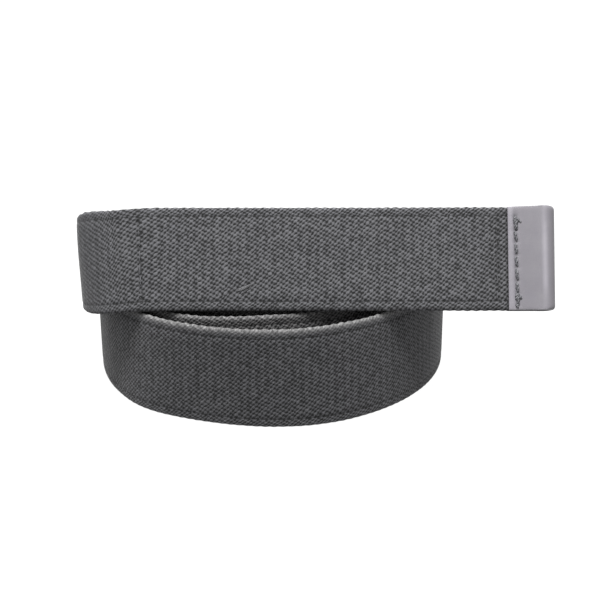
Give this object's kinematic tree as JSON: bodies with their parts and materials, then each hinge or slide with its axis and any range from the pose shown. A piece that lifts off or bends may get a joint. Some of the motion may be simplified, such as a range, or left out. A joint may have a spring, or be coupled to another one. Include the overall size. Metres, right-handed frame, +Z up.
{
  "type": "elastic stretching strap",
  "caption": "Woven elastic strap with a sewn hand loop and a leatherette end tab, coiled on edge with the loop lying across the coil.",
  "frame": {"origin": "centre of the bounding box's base, on the floor the coil stands on", "axes": "+X along the flat hand loop towards its end tab, +Y from the loop over the coil towards the back, +Z up, across the webbing of the coil"},
  "size_m": [0.1888, 0.1514, 0.0791],
  "materials": {
    "webbing": "charcoal woven elastic with a diagonal rib",
    "tab": "smooth pale grey leatherette",
    "thread": "dark grey sewing thread"
  },
  "bodies": {
    "coil": {"corner_turn": "webbing", "riser": "webbing", "outer_turn": "webbing", "inner_turn": "webbing", "core_turn": "webbing"},
    "inner_end": {"inner_end": "webbing", "inner_hem": "webbing", "hem_seam_outer": "thread", "hem_seam_inner": "thread"},
    "hand_loop": {"loop_front": "webbing", "loop_back": "webbing", "loop_seam_front": "thread", "loop_seam_back": "thread"},
    "loop_tip": {"link_front": "webbing", "link_back": "webbing", "tip_seam_front": "thread", "tip_seam_back": "thread"},
    "end_tab": {"folded_end": "webbing", "end_tab": "tab", "tab_seam_front": "thread", "tab_seam_back": "thread"}
  },
  "joints": [
    {"name": "free_end_swing", "type": "hinge", "parent": "coil", "child": "hand_loop", "pos_m": [-0.07398, -0.04155, 0.041], "axis": [0, 0, 1], "range_deg": [-35, 40], "stiffness_Nm_per_rad": 0.02, "deforming": ["corner_turn"]},
    {"name": "elastic_stretch", "type": "slide", "parent": "hand_loop", "child": "loop_tip", "axis": [1, 0, 0], "range_m": [0, 0.04], "stiffness_N_per_m": 250, "deforming": ["loop_front", "loop_back"]},
    {"name": "tab_flex", "type": "hinge", "parent": "loop_tip", "child": "end_tab", "pos_m": [0.07587, -0.04816, 0.05943], "axis": [0, 0.4384, 0.8988], "range_deg": [-20, 20], "stiffness_Nm_per_rad": 0.02, "deforming": ["link_front", "link_back"]},
    {"name": "inner_end_flex", "type": "hinge", "parent": "coil", "child": "inner_end", "pos_m": [-0.0793, 0.01739, 0.02], "axis": [0, 0, -1], "range_deg": [0, 35], "stiffness_Nm_per_rad": 0.01}
  ]
}
